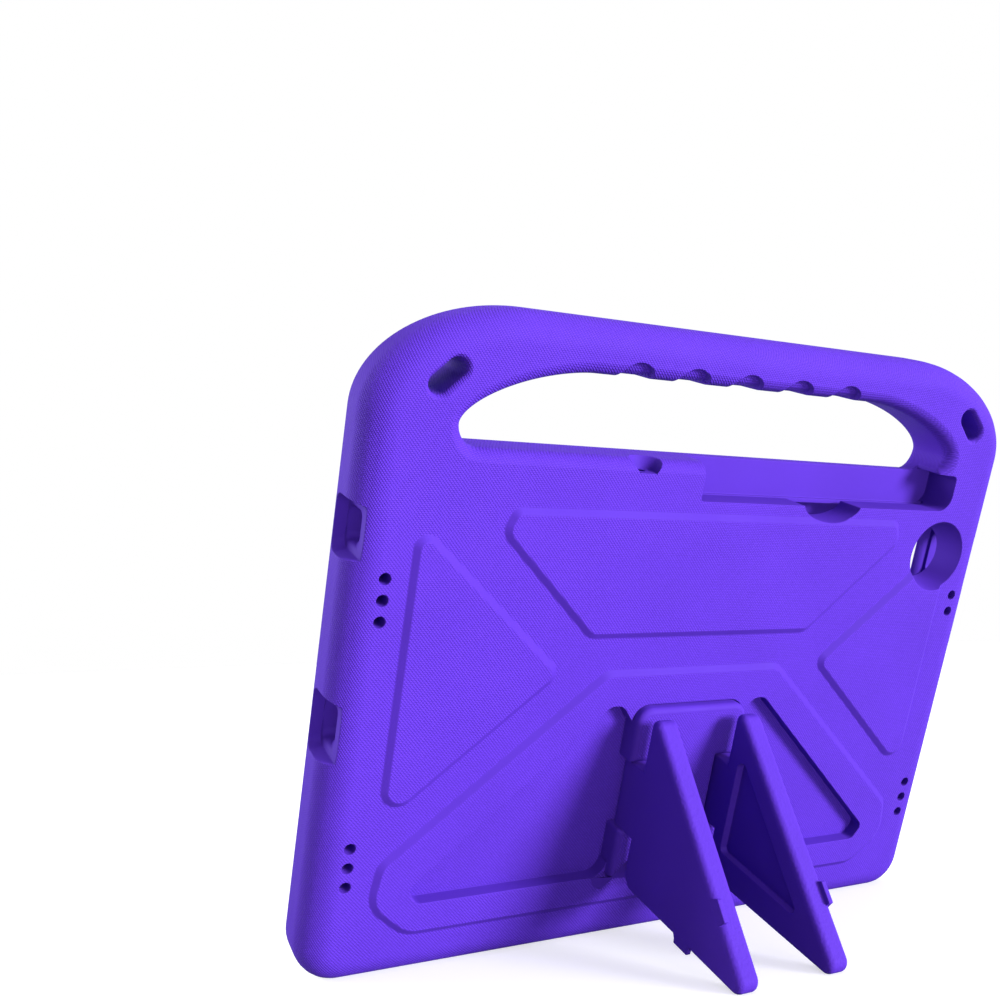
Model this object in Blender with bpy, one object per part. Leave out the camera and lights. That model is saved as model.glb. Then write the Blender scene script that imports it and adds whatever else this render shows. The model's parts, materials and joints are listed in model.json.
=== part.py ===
"""Foam case for a 10.6 inch tablet, with a grip handle, leaning back on two fold-out legs.

Every piece is drawn with the case upright: X to the right as seen from the screen side, Y from the
screen side to the back, Z up. One empty then leans all of it back until the rear bottom edge and
both leg tips stand on the floor, which is Z = 0.
"""

import math

import bmesh
import bpy
from mathutils import Matrix, Vector

# Tablet space, and the window in front of it, metres
TABLET_WIDTH = 0.2512
TABLET_HEIGHT = 0.1588
TABLET_THICK = 0.0074
TABLET_CORNER = 0.006
LIP_THICK = 0.0032
DEPTH_EASE = 0.0006
SCREEN_SIDE_LIP = 0.0061
SCREEN_FOOT_LIP = 0.0064
SCREEN_TOP_LIP = 0.0064
SCREEN_CORNER = 0.0025
SCREEN_SLOPE = 0.006
LIP_EDGE = 0.0008
LENS_NOTCH_HALF = 0.0106
LENS_NOTCH_TOP_HALF = 0.0062
LENS_NOTCH_RISE = 0.005

# Walls round the tablet, and the outside of the case
SIDE_WALL = 0.0094
FOOT_WALL = 0.0096
CASE_DEPTH = 0.0225
BOTTOM_CORNER = 0.015
TOP_CORNER_RUN = 0.0525
TOP_CORNER_RISE = 0.038
FRONT_EDGE = 0.0055
REAR_EDGE = 0.0105

# Handle
GRIP_OVER_TABLET = 0.0152
GRIP_RISE = 0.0259
GRIP_SIDE_WALL = 0.0308
GRIP_END_RUN = 0.0442
GRIP_END_RADIUS = 0.0073
GRIP_EDGE = 0.0055
HANDLE_BAR = 0.0170
FINGERS = 5
FINGER_PITCH = 0.02255
FINGER_RADIUS = 0.0069
FINGER_TOP = 0.0053
FINGER_RISE = 0.0007
FINGER_DEPTH = 0.0018

# Strap slots in the top corners
STRAP_TO_SIDE = 0.0239
STRAP_TO_TOP = 0.0218
STRAP_WIDE = 0.007
STRAP_LONG = 0.014
STRAP_EDGE = 0.0014

# Raised panels of the back
PANEL_RISE = 0.0015
PANEL_SLOPE = 0.0022

# Openings to the tablet's buttons, lens, sockets and speakers
BUTTON_SLOT_TO_SIDE = 0.0254
BUTTON_SLOT_LONG = 0.1213
BUTTON_SLOT_UNDER = 0.0014
BUTTON_SLOT_FRONT = 0.0090
BUTTON_SLOT_CEILING = 0.0009
THUMB_X = -0.0488
THUMB_HALF = 0.0138
THUMB_DROP = 0.0048
LENS_TO_SIDE = 0.0250
LENS_UNDER_TOP = 0.0166
LENS_MOUTH = 0.0146
LENS_FLOOR = 0.0105
SOUND_X = 0.0335
SPEAKER_TO_SIDE = 0.0115
SPEAKER_RADIUS = 0.0019
SPEAKER_PITCH = 0.0069
SPEAKER_UNDER_TOP = 0.0358
SPEAKER_LOW = 0.0454
PORT_DEEP = 0.0064
PORT_FLARE = 0.0100
PORT_END_FLARE = 0.0030
PORT_UNDER_TOP = ((1, 0.0128, 0.0105), (1, 0.0776, 0.0130), (-1, 0.0197, 0.0165))

# Stand: the well for both legs, the bracket between them and the legs themselves
WELL_LOW = 0.0297
WELL_UNDER_TOP = 0.0719
WELL_DEPTH = 0.0050
WELL_TIP_TO_SIDE = (0.0375, 0.0335)
WELL_TIP_RISE = 0.0058
WELL_SHOULDER = 0.0340
WELL_HEEL_RADIUS = 0.0062
HINGE_X = 0.0184
LEG_THICK = 0.0086
LEG_EDGE = 0.0018
LEG_TIP_RADIUS = 0.0033
LEG_HEEL = 0.0086
LEG_HEEL_CUT = 0.0039
LEG_SHOULDER = 0.0127
LEG_UNDER_TOP = 0.0010
LEG_OVER_FOOT = 0.0020
LEG_TIP_BACK = 0.0034
LEG_TIP_RISE = 0.0042
KNUCKLE_SHARES = (0.304, 0.689)
TAB_HEIGHT = 0.0019
TAB_THICK = 0.0020
TAB_LONG = 0.0084
TAB_FOOT_REACH = 0.0450
TAB_SLOPE_REACH = 0.0585
DISH_DEEP = 0.0030
DISH_MARGIN = 0.0078
DISH_FOOT_MARGIN = 0.0098
DISH_HEEL = 0.0180
BRACKET_HALF = 0.0240
BRACKET_CORNER = 0.006
BRACKET_EDGE = 0.0030
BRACKET_BELOW_LEG = 0.0004
PIN_RADIUS = 0.0012
PIN_PLAY = 0.00006
PIN_BITE = 0.0118
GAP = 0.0003
FOOT_LAND = 0.00035

CORNER_STEPS = 6
EDGE_STEPS = 4

# Sizes that follow from those above
CASE_HALF = TABLET_WIDTH / 2 + SIDE_WALL
TABLET_TOP = FOOT_WALL + TABLET_HEIGHT
TABLET_BACK = LIP_THICK + TABLET_THICK + DEPTH_EASE
SCREEN_HALF = TABLET_WIDTH / 2 - SCREEN_SIDE_LIP
SCREEN_LOW = FOOT_WALL + SCREEN_FOOT_LIP
SCREEN_HIGH = TABLET_TOP - SCREEN_TOP_LIP
GRIP_LOW = TABLET_TOP + GRIP_OVER_TABLET
GRIP_HIGH = GRIP_LOW + GRIP_RISE
GRIP_HALF = CASE_HALF - GRIP_SIDE_WALL
CASE_HEIGHT = GRIP_HIGH + HANDLE_BAR
STRAP_X = CASE_HALF - STRAP_TO_SIDE
STRAP_Z = CASE_HEIGHT - STRAP_TO_TOP
BUTTON_SLOT_LOW = TABLET_TOP - BUTTON_SLOT_UNDER
PORTS = tuple((side, TABLET_TOP - down, length) for side, down, length in PORT_UNDER_TOP)
PANEL_LEVEL = CASE_DEPTH + PANEL_RISE
WELL_HIGH = TABLET_TOP - WELL_UNDER_TOP
WELL_FLOOR = PANEL_LEVEL - WELL_DEPTH
KNUCKLE = tuple(WELL_LOW + share * (WELL_HIGH - WELL_LOW) for share in KNUCKLE_SHARES)
HINGE_Y = WELL_FLOOR + GAP + LEG_THICK / 2
BRACKET_TOP = HINGE_Y + LEG_THICK / 2 - BRACKET_BELOW_LEG
PIN_SPAN = (KNUCKLE[0] - PIN_BITE, KNUCKLE[1] + PIN_BITE)


def clear_scene():
    for obj in list(bpy.data.objects):
        bpy.data.objects.remove(obj, do_unlink=True)


def new_collection(name):
    collection = bpy.data.collections.new(name)
    bpy.context.scene.collection.children.link(collection)
    return collection


def new_material(name, colour, roughness, metallic):
    material = bpy.data.materials.new(name)
    material.use_nodes = True
    shader = material.node_tree.nodes["Principled BSDF"]
    shader.inputs["Base Color"].default_value = (*colour, 1)
    shader.inputs["Roughness"].default_value = roughness
    shader.inputs["Metallic"].default_value = metallic
    material.diffuse_color = (*colour, 1)
    return material


def arc_at(before, here, after, radius):
    """Centre of the arc that rounds a corner, with its first angle and its sweep."""
    back = (before - here).normalized()
    ahead = (after - here).normalized()
    half = back.angle(ahead) / 2
    centre = here + (back + ahead).normalized() * (radius / math.sin(half))
    start = here + back * (radius / math.tan(half)) - centre
    end = here + ahead * (radius / math.tan(half)) - centre
    first = math.atan2(start.y, start.x)
    sweep = (math.atan2(end.y, end.x) - first + math.pi) % (2 * math.pi) - math.pi
    return centre, first, sweep


def rounded(corners):
    """A polygon of (u, v, radius) corners, with each corner rounded."""
    points = []
    count = len(corners)
    for index, (u, v, radius) in enumerate(corners):
        if radius == 0:
            points.append((u, v))
            continue
        before = Vector(corners[index - 1][:2])
        after = Vector(corners[(index + 1) % count][:2])
        centre, first, sweep = arc_at(before, Vector((u, v)), after, radius)
        steps = max(2, round(CORNER_STEPS * abs(sweep) / (math.pi / 2)))
        for step in range(steps + 1):
            angle = first + sweep * step / steps
            points.append((centre.x + radius * math.cos(angle), centre.y + radius * math.sin(angle)))
    return points


def mirrored(right):
    """A closed outline from its right half, given from the bottom up."""
    return right + [(-corner[0], *corner[1:]) for corner in reversed(right)]


def grown(points, distance):
    """An anticlockwise outline with every side moved outwards."""
    moved = []
    count = len(points)
    for index, point in enumerate(points):
        here = Vector(point)
        ahead = (Vector(points[(index + 1) % count]) - here).normalized()
        back = (here - Vector(points[index - 1])).normalized()
        out_a = Vector((ahead.y, -ahead.x))
        out_b = Vector((back.y, -back.x))
        place = here + (out_a + out_b) * (distance / (1 + out_a.dot(out_b)))
        moved.append((place.x, place.y))
    return moved


def eased(low, high, radius_low, radius_high, steps=EDGE_STEPS):
    """Levels (position, growth) of a plate whose two faces have rounded edges."""
    turn = [math.pi / 2 * step / steps for step in range(steps + 1)]
    first = [(low + radius_low * (1 - math.cos(a)), radius_low * (math.sin(a) - 1)) for a in turn]
    last = [(high - radius_high * (1 - math.cos(a)), radius_high * (math.sin(a) - 1)) for a in turn]
    return first + last[::-1]


def flared(low, high, radius, steps=EDGE_STEPS, past=0.00015):
    """Levels of a cutter that leaves rounded edges on the two faces it cuts through."""
    turn = [math.pi / 2 * step / steps for step in range(steps + 1)]
    first = [(low - past + radius * (1 - math.cos(a)), radius * (1 - math.sin(a))) for a in turn]
    last = [(high + past - radius * (1 - math.cos(a)), radius * (1 - math.sin(a))) for a in turn]
    return first + last[::-1]


def along_y(u, v, w):
    return (u, w, v)


def along_x(u, v, w):
    return (w, u, v)


def along_z(u, v, w):
    return (u, v, w)


def add_rings(mesh, rings):
    """One closed body through rings of equally many points."""
    levels = [[mesh.verts.new(point) for point in ring] for ring in rings]
    count = len(levels[0])
    for low, high in zip(levels, levels[1:]):
        for index in range(count):
            after = (index + 1) % count
            mesh.faces.new((low[index], low[after], high[after], high[index]))
    mesh.faces.new(levels[0])
    mesh.faces.new(levels[-1])


def plate_rings(outline, levels, place):
    return [[place(u, v, w) for u, v in grown(outline, growth)] for w, growth in levels]


def circle(u, v, radius, steps=24):
    turns = [2 * math.pi * step / steps for step in range(steps)]
    return [(u + radius * math.cos(a), v + radius * math.sin(a)) for a in turns]


def new_object(name, bodies, collection, parent):
    """An object whose mesh is made of separate closed bodies, each a list of rings."""
    work = bmesh.new()
    for rings in bodies:
        add_rings(work, rings)
    bmesh.ops.recalc_face_normals(work, faces=work.faces)
    mesh = bpy.data.meshes.new(name)
    work.to_mesh(mesh)
    work.free()
    obj = bpy.data.objects.new(name, mesh)
    collection.objects.link(obj)
    obj.parent = parent
    return obj


def new_piece(name, bodies, material, parent):
    obj = new_object(name, bodies, parts, parent)
    obj.data.materials.append(material)
    return obj


def combine(piece, name, bodies, operation, parent=None):
    """One Boolean step on a piece, with the other shape kept out of the render."""
    other = new_object(name, bodies, cutters, parent or piece.parent)
    other.display_type = "WIRE"
    other.hide_render = True
    modifier = piece.modifiers.new(name, "BOOLEAN")
    modifier.operation = operation
    modifier.solver = "EXACT"
    modifier.object = other
    return other


def case_outline():
    """Bottom corners are round, top corners are quarter ellipses."""
    points = []
    for step in range(CORNER_STEPS + 3):
        angle = math.pi / 2 * (step / (CORNER_STEPS + 2) - 1)
        points.append((
            CASE_HALF - BOTTOM_CORNER + BOTTOM_CORNER * math.cos(angle),
            BOTTOM_CORNER + BOTTOM_CORNER * math.sin(angle),
        ))
    for step in range(15):
        angle = math.pi / 2 * step / 14
        points.append((
            CASE_HALF - TOP_CORNER_RUN + TOP_CORNER_RUN * math.cos(angle),
            CASE_HEIGHT - TOP_CORNER_RISE + TOP_CORNER_RISE * math.sin(angle),
        ))
    return mirrored(points)


def grip_outline():
    """Flat below, rounded ends, and a top edge that curves down to them."""
    end_z = GRIP_LOW + GRIP_END_RADIUS
    right = []
    for step in range(CORNER_STEPS + 1):
        angle = math.pi / 2 * (step / CORNER_STEPS - 1)
        right.append((
            GRIP_HALF - GRIP_END_RADIUS * (1 - math.cos(angle)),
            end_z + GRIP_END_RADIUS * math.sin(angle),
        ))
    rise = GRIP_HIGH - end_z
    for step in range(1, 13):
        angle = math.pi / 2 * step / 12
        right.append((
            GRIP_HALF - GRIP_END_RUN * (1 - math.cos(angle) ** 0.86),
            end_z + rise * math.sin(angle) ** 0.92,
        ))
    return mirrored(right)


def panel(corners):
    outline = rounded(corners)
    low = (CASE_DEPTH - 0.002, 0)
    return plate_rings(outline, [low, (CASE_DEPTH, 0), (PANEL_LEVEL, -PANEL_SLOPE)], along_y)


def panel_outlines():
    """Crown, two side triangles and the foot, each point placed from the side and the tablet's top."""
    half, top = CASE_HALF, TABLET_TOP
    crown = mirrored([
        (half - 0.0874, top - 0.0470, 0.006),
        (half - 0.0485, top - 0.0109, 0.006),
        (half - 0.0520, top - 0.0022, 0.004),
    ])
    side = [
        (half - 0.0197, 0.0608, 0.0042),
        (half - 0.0197, top - 0.0064, 0.0044),
        (half - 0.0780, top - 0.0574, 0.005),
    ]
    foot = mirrored([
        (half - 0.0390, 0.0170, 0.014),
        (half - 0.0200, 0.0340, 0.008),
        (half - 0.0220, 0.0455, 0.008),
        (half - 0.0970, top - 0.0586, 0.008),
    ])
    other_side = [(-u, v, radius) for u, v, radius in reversed(side)]
    return [crown, side, other_side, foot]


def well_outline():
    """Two triangular pockets joined behind the bracket, with a cusp at each upper bracket corner."""
    low_tip, high_tip = (CASE_HALF - to_side for to_side in WELL_TIP_TO_SIDE)
    corner = BRACKET_CORNER + GAP
    edge = BRACKET_HALF + GAP
    heel = WELL_HEEL_RADIUS
    right = [(edge, WELL_LOW)]
    for step in range(3):
        angle = math.pi / 4 * step
        right.append((
            edge + heel * (1 - math.cos(angle)),
            WELL_LOW + heel * (1 - math.sin(angle)),
        ))
    right += rounded([
        (0, WELL_LOW, 0),
        (low_tip, WELL_LOW, 0.003),
        (high_tip, WELL_LOW + WELL_TIP_RISE, 0.003),
        (WELL_SHOULDER, WELL_HIGH, 0.003),
        (edge + 0.003, WELL_HIGH, 0.0012),
        (edge, WELL_HIGH - corner, 0),
        (0, WELL_HIGH - corner, 0),
    ])[1:-1]
    for step in range(1, CORNER_STEPS + 1):
        angle = math.pi / 2 * step / CORNER_STEPS
        right.append((
            edge - corner + corner * math.cos(angle),
            WELL_HIGH - corner + corner * math.sin(angle),
        ))
    return mirrored(right)


def window_outline():
    return rounded(mirrored([
        (SCREEN_HALF, SCREEN_LOW, SCREEN_CORNER),
        (SCREEN_HALF, SCREEN_HIGH, SCREEN_CORNER),
        (LENS_NOTCH_HALF, SCREEN_HIGH, 0),
        (LENS_NOTCH_TOP_HALF, SCREEN_HIGH + LENS_NOTCH_RISE, 0.001),
    ]))


def box_outline(low_u, high_u, low_v, high_v, radius):
    return rounded([
        (low_u, low_v, radius),
        (high_u, low_v, radius),
        (high_u, high_v, radius),
        (low_u, high_v, radius),
    ])


def port(side, middle, length):
    """A socket opening through the side wall, flaring out over the rounded rear edge."""
    front = TABLET_BACK - PORT_DEEP - 0.0004
    back = front + PORT_DEEP
    inner = TABLET_WIDTH / 2 + 0.0012
    outer = CASE_HALF + 0.002
    rings = []
    for w, flare in ((inner - 0.0022, 0), (inner + 0.0008, 0), (outer, 1.4)):
        outline = box_outline(
            front,
            back + PORT_FLARE * flare,
            middle - length / 2 - PORT_END_FLARE * flare,
            middle + length / 2 + PORT_END_FLARE * flare,
            0.0022 + 0.001 * flare,
        )
        rings.append([along_x(u, v, side * w) for u, v in outline])
    return rings


def upright_plate(outline, low, high):
    return plate_rings(outline, [(low, 0), (high, 0)], along_y)


def between(low_ring, high_ring):
    """A cutter between two circles given as (x, y, z, radius, axis)."""
    rings = []
    for x, y, z, radius, axis in (low_ring, high_ring):
        if axis == "Y":
            rings.append([(u, y, v) for u, v in circle(x, z, radius, 40)])
        else:
            rings.append([(u, v, z) for u, v in circle(x, y, radius, 28)])
    return rings


def rod(x, y, low, high, radius):
    return [[(u, v, z) for u, v in circle(x, y, radius)] for z in (low, high)]


def leg_corners():
    """The leg's outline before rounding, as (distance from the hinge, height)."""
    tip = CASE_HALF - WELL_TIP_TO_SIDE[1] - HINGE_X - LEG_TIP_BACK
    low, high = WELL_LOW + LEG_OVER_FOOT, WELL_HIGH - LEG_UNDER_TOP
    return [
        (LEG_HEEL, low + LEG_HEEL_CUT),
        (LEG_HEEL + LEG_HEEL_CUT, low),
        (tip, WELL_LOW + LEG_TIP_RISE),
        (LEG_SHOULDER, high),
        (LEG_HEEL, high),
    ]


def floor_line():
    """Lean angle, and the point of the upright case that comes to stand at the origin."""
    corners = [Vector(corner) for corner in leg_corners()]
    tip, _, _ = arc_at(corners[1], corners[2], corners[3], LEG_TIP_RADIUS)
    tip = Vector((tip.x + HINGE_Y, tip.y))
    heel = Vector((CASE_DEPTH - REAR_EDGE, REAR_EDGE))
    reach = tip - heel
    lean = math.atan2(reach.y, reach.x) + math.asin((REAR_EDGE - LEG_TIP_RADIUS) / reach.length)
    up = Vector((-math.sin(lean), math.cos(lean)))
    return lean, heel + up * (FOOT_LAND - REAR_EDGE)


def build_case(parent):
    case = new_piece(
        "case_body",
        [plate_rings(case_outline(), eased(0, CASE_DEPTH, FRONT_EDGE, REAR_EDGE), along_y)],
        foam,
        parent,
    )
    combine(case, "raised_panels", [panel(outline) for outline in panel_outlines()], "UNION")

    tablet_outline = box_outline(
        -TABLET_WIDTH / 2, TABLET_WIDTH / 2, FOOT_WALL, TABLET_TOP, TABLET_CORNER
    )
    combine(case, "tablet_space", [upright_plate(tablet_outline, LIP_THICK, TABLET_BACK)], "DIFFERENCE")
    slope_end = LIP_THICK - LIP_EDGE
    window_levels = [
        (-0.0006, SCREEN_SLOPE * (1 + 0.0006 / slope_end)),
        (slope_end, 0),
        (LIP_THICK + 0.001, 0),
    ]
    combine(case, "window", [plate_rings(window_outline(), window_levels, along_y)], "DIFFERENCE")

    combine(
        case,
        "grip_hole",
        [plate_rings(grip_outline(), flared(0, CASE_DEPTH, GRIP_EDGE), along_y)],
        "DIFFERENCE",
    )
    fingers = []
    for index in range(FINGERS):
        x = FINGER_PITCH * (index - (FINGERS - 1) / 2)
        outline = circle(x, GRIP_HIGH + FINGER_TOP - FINGER_RADIUS, FINGER_RADIUS, 28)
        fingers.append(upright_plate(outline, -0.001, CASE_DEPTH + 0.001))
    scoops = combine(case, "finger_scoops", fingers, "DIFFERENCE")
    core = box_outline(
        FINGER_DEPTH,
        CASE_DEPTH - FINGER_DEPTH,
        GRIP_HIGH + FINGER_RISE,
        CASE_HEIGHT - FINGER_DEPTH,
        GRIP_EDGE,
    )
    half = FINGER_PITCH * FINGERS / 2
    combine(scoops, "grip_core", [plate_rings(core, [(-half, 0), (half, 0)], along_x)], "DIFFERENCE")

    slots = []
    for side in (-1, 1):
        turn = Matrix.Rotation(-side * math.pi / 4, 2)
        outline = [
            tuple(turn @ Vector(point) + Vector((side * STRAP_X, STRAP_Z)))
            for point in box_outline(
                -STRAP_LONG / 2, STRAP_LONG / 2, -STRAP_WIDE / 2, STRAP_WIDE / 2, STRAP_WIDE / 2 - 0.0001
            )
        ]
        slots.append(plate_rings(outline, flared(0, CASE_DEPTH, STRAP_EDGE, 3), along_y))
    combine(case, "strap_slots", slots, "DIFFERENCE")

    low_x = BUTTON_SLOT_TO_SIDE - CASE_HALF
    high_x = low_x + BUTTON_SLOT_LONG
    hole_end = 0.002 - GRIP_HALF
    in_hole = GRIP_LOW + GRIP_END_RADIUS / 2
    slot_outline = rounded([
        (low_x, BUTTON_SLOT_LOW, 0.006),
        (high_x, BUTTON_SLOT_LOW, 0.001),
        (high_x, in_hole, 0),
        (hole_end, in_hole, 0),
        (hole_end, GRIP_LOW + BUTTON_SLOT_CEILING, 0),
        (low_x, GRIP_LOW + BUTTON_SLOT_CEILING, 0.002),
    ])
    behind = PANEL_LEVEL + 0.001
    combine(case, "button_slot", [upright_plate(slot_outline, BUTTON_SLOT_FRONT, behind)], "DIFFERENCE")
    thumb = [
        (THUMB_X + THUMB_HALF * math.cos(a), BUTTON_SLOT_LOW + 0.001 + (THUMB_DROP + 0.001) * math.sin(a))
        for a in (2 * math.pi * step / 32 for step in range(32))
    ]
    combine(case, "thumb_recess", [upright_plate(thumb, BUTTON_SLOT_FRONT + 0.0005, behind)], "DIFFERENCE")
    sound = between(
        (SOUND_X, 0.0080, TABLET_TOP - 0.001, 0.0016, "Z"),
        (SOUND_X, 0.0160, GRIP_LOW + 0.0035, 0.0066, "Z"),
    )
    combine(case, "sound_hole", [sound], "DIFFERENCE")
    lens_x, lens_z = LENS_TO_SIDE - CASE_HALF, TABLET_TOP - LENS_UNDER_TOP
    lens = between(
        (lens_x - 0.002, TABLET_BACK - 0.001, lens_z - 0.0015, LENS_FLOOR, "Y"),
        (lens_x, behind, lens_z, LENS_MOUTH + 0.0004, "Y"),
    )
    combine(case, "lens_opening", [lens], "DIFFERENCE")
    speakers = []
    for side in (-1, 1):
        speaker_x = side * (CASE_HALF - SPEAKER_TO_SIDE)
        for middle in (SPEAKER_LOW, TABLET_TOP - SPEAKER_UNDER_TOP):
            steps = (-1, 0) if side < 0 and middle > SPEAKER_LOW else (-1, 0, 1)
            for step in steps:
                outline = circle(speaker_x, middle + step * SPEAKER_PITCH, SPEAKER_RADIUS, 16)
                speakers.append(upright_plate(outline, TABLET_BACK - 0.001, behind))
    combine(case, "speaker_holes", speakers, "DIFFERENCE")
    combine(case, "side_ports", [port(*spec) for spec in PORTS], "DIFFERENCE")

    combine(case, "leg_well", [upright_plate(well_outline(), WELL_FLOOR, behind)], "DIFFERENCE")
    return case


def build_bracket(parent):
    """One block over both hinges, notched at each side for the leg's knuckle."""
    knuckle_low, knuckle_high = KNUCKLE
    middle = HINGE_X - LEG_THICK / 2 - GAP
    right = [
        (BRACKET_HALF, WELL_LOW + GAP, 0.0012),
        (BRACKET_HALF, knuckle_low - GAP, 0),
        (middle, knuckle_low - GAP, 0),
        (middle, knuckle_high + GAP, 0),
        (BRACKET_HALF, knuckle_high + GAP, 0),
        (BRACKET_HALF, WELL_HIGH - GAP, BRACKET_CORNER),
    ]
    levels = [(WELL_FLOOR + GAP, 0)] + eased(WELL_FLOOR + GAP, BRACKET_TOP, 0, BRACKET_EDGE)[EDGE_STEPS + 1:]
    bracket = new_piece(
        "stand_bracket", [plate_rings(rounded(mirrored(right)), levels, along_y)], foam, parent
    )
    bores = [
        rod(side * HINGE_X, HINGE_Y, PIN_SPAN[0] - GAP, PIN_SPAN[1] + GAP, PIN_RADIUS + PIN_PLAY)
        for side in (-1, 1)
    ]
    combine(bracket, "pin_bores", bores, "DIFFERENCE")
    return bracket


def build_leg(name, side, parent):
    """A leg swung out to the back. Its local origin is on the hinge axis, level with the case bottom."""
    corners = leg_corners()
    radii = (0.0020, 0.0020, LEG_TIP_RADIUS, 0.0022, 0.0019)
    outline = rounded([(u, v, radius) for (u, v), radius in zip(corners, radii)])
    half = LEG_THICK / 2

    def place(u, v, w):
        return (side * w, u, v)

    levels = eased(-half, half, LEG_EDGE, LEG_EDGE, 3)
    leg = new_piece(name, [plate_rings(outline, levels, place)], foam, parent)
    leg.location = (side * HINGE_X, HINGE_Y, 0)

    knuckle_low, knuckle_high = KNUCKLE
    skin = half - 0.00005
    tongue = [(skin * math.cos(a), skin * math.sin(a)) for a in (math.pi * (1 + k / 12) for k in range(13))]
    tongue += [(skin, LEG_HEEL + 0.003), (-skin, LEG_HEEL + 0.003)]
    tongue_rings = plate_rings(tongue, eased(knuckle_low, knuckle_high, 0.0006, 0.0006, 2), along_z)
    combine(leg, name + "_knuckle", [tongue_rings], "UNION", leg)

    # Tabs on the sloping edge and on the lower edge, at the side that meets the pocket floor
    foot, tip, shoulder = (Vector(corner) for corner in corners[1:4])
    tabs = []
    for start, end, reach in ((tip, shoulder, TAB_SLOPE_REACH), (foot, tip, TAB_FOOT_REACH)):
        run = (end - start).normalized()
        away = Vector((run.y, -run.x))
        middle = start + run * ((reach - start.x) / run.x)
        shape = [
            middle - run * (TAB_LONG / 2) - away * 0.003,
            middle - run * (TAB_LONG / 2) + away * TAB_HEIGHT,
            middle + run * (TAB_LONG / 2) + away * TAB_HEIGHT,
            middle + run * (TAB_LONG / 2) - away * 0.003,
        ]
        outline = [(point.x, point.y) for point in shape]
        tabs.append([
            [place(u, v, w) for u, v in outline] for w in (skin - TAB_THICK, skin)
        ])
    combine(leg, name + "_tabs", tabs, "UNION", leg)

    # Triangular dish in the face that shows once the leg is folded away
    along = (shoulder - tip).normalized()
    inward = Vector((-along.y, along.x))
    edge = tip + inward * DISH_MARGIN
    low = tip.y + DISH_FOOT_MARGIN
    low_end = edge + along * ((low - edge.y) / along.y)
    high_end = edge + along * ((DISH_HEEL - edge.x) / along.x)
    dish = rounded([
        (DISH_HEEL, low, 0.002),
        (low_end.x, low, 0.0018),
        (DISH_HEEL, high_end.y, 0.0016),
    ])
    dish_rings = [[place(u, v, w) for u, v in dish] for w in (-half - 0.001, -half + DISH_DEEP)]
    combine(leg, name + "_dish", [dish_rings], "DIFFERENCE", leg)
    bore = rod(0, 0, knuckle_low - 0.001, knuckle_high + 0.001, PIN_RADIUS + PIN_PLAY)
    combine(leg, name + "_bore", [bore], "DIFFERENCE", leg)
    return leg


def build_pin(name, side, parent):
    return new_piece(name, [rod(side * HINGE_X, HINGE_Y, *PIN_SPAN, PIN_RADIUS)], steel, parent)


clear_scene()
parts = new_collection("kids_tablet_case")
cutters = new_collection("cutters")
foam = new_material("violet_foam", (0.155, 0.050, 0.740), 0.62, 0.0)
steel = new_material("pin_steel", (0.55, 0.55, 0.56), 0.35, 1.0)

leaning, standing_point = floor_line()
lean = bpy.data.objects.new("lean", None)
parts.objects.link(lean)
lean.rotation_euler = (-leaning, 0, 0)
lean.location = -(Matrix.Rotation(-leaning, 3, "X") @ Vector((0, *standing_point)))

body = build_case(lean)
build_bracket(lean)
leg_left = build_leg("stand_leg_left", 1, lean)
leg_right = build_leg("stand_leg_right", -1, lean)
build_pin("hinge_pin_left", 1, lean)
build_pin("hinge_pin_right", -1, lean)

# The rear bottom edge and the leg tips are worn flat where they stand
floor_rings = [
    [(u, v, z) for u, v in ((-0.2, -0.1), (0.2, -0.1), (0.2, 0.2), (-0.2, 0.2))] for z in (-0.02, 0)
]
ground = combine(body, "ground", [floor_rings], "DIFFERENCE", lean)
ground.parent = None
for leg_piece in (leg_left, leg_right):
    trim = leg_piece.modifiers.new("ground", "BOOLEAN")
    trim.operation = "DIFFERENCE"
    trim.solver = "EXACT"
    trim.object = ground
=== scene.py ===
import json
import math

import bmesh
import bpy
from mathutils import Euler, Matrix, Vector


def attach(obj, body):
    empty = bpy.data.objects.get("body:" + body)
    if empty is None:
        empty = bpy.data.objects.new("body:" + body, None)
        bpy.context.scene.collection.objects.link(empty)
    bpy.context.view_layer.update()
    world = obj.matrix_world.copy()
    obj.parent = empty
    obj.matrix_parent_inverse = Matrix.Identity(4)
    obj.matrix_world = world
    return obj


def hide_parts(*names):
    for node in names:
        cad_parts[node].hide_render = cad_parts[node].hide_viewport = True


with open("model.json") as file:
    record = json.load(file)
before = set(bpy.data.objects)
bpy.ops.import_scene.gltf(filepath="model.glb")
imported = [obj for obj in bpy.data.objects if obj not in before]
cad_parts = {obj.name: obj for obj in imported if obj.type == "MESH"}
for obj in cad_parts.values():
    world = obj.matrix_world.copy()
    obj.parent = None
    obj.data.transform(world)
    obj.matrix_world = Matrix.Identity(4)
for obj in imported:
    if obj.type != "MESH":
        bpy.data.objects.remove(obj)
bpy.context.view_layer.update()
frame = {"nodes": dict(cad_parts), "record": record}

# Metres. Every piece is drawn with the case upright: X right as seen from the screen side,
# Y from the screen side to the back, Z up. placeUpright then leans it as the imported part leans.
case = {
    "depth": 0.0225,
    "sideWall": 0.0094,  # from the tablet to the outside
    "footWall": 0.0096,
    "bottomCorner": 0.015,
    "topCornerRun": 0.0522,
    "topCornerRise": 0.0348,
    "frontEdge": 0.0055,
    "rearEdge": 0.0105,
    "panelRise": 0.0015,
    "panelSlope": 0.0022,
    "softEdge": 0.00035,  # rounding of every moulded edge
}
tablet = {
    "width": 0.2512,
    "height": 0.1588,
    "thick": 0.0074,
    "corner": 0.006,
    "ease": 0.0006,
    "lip": 0.0032,  # screen lip in front of it
}
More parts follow.
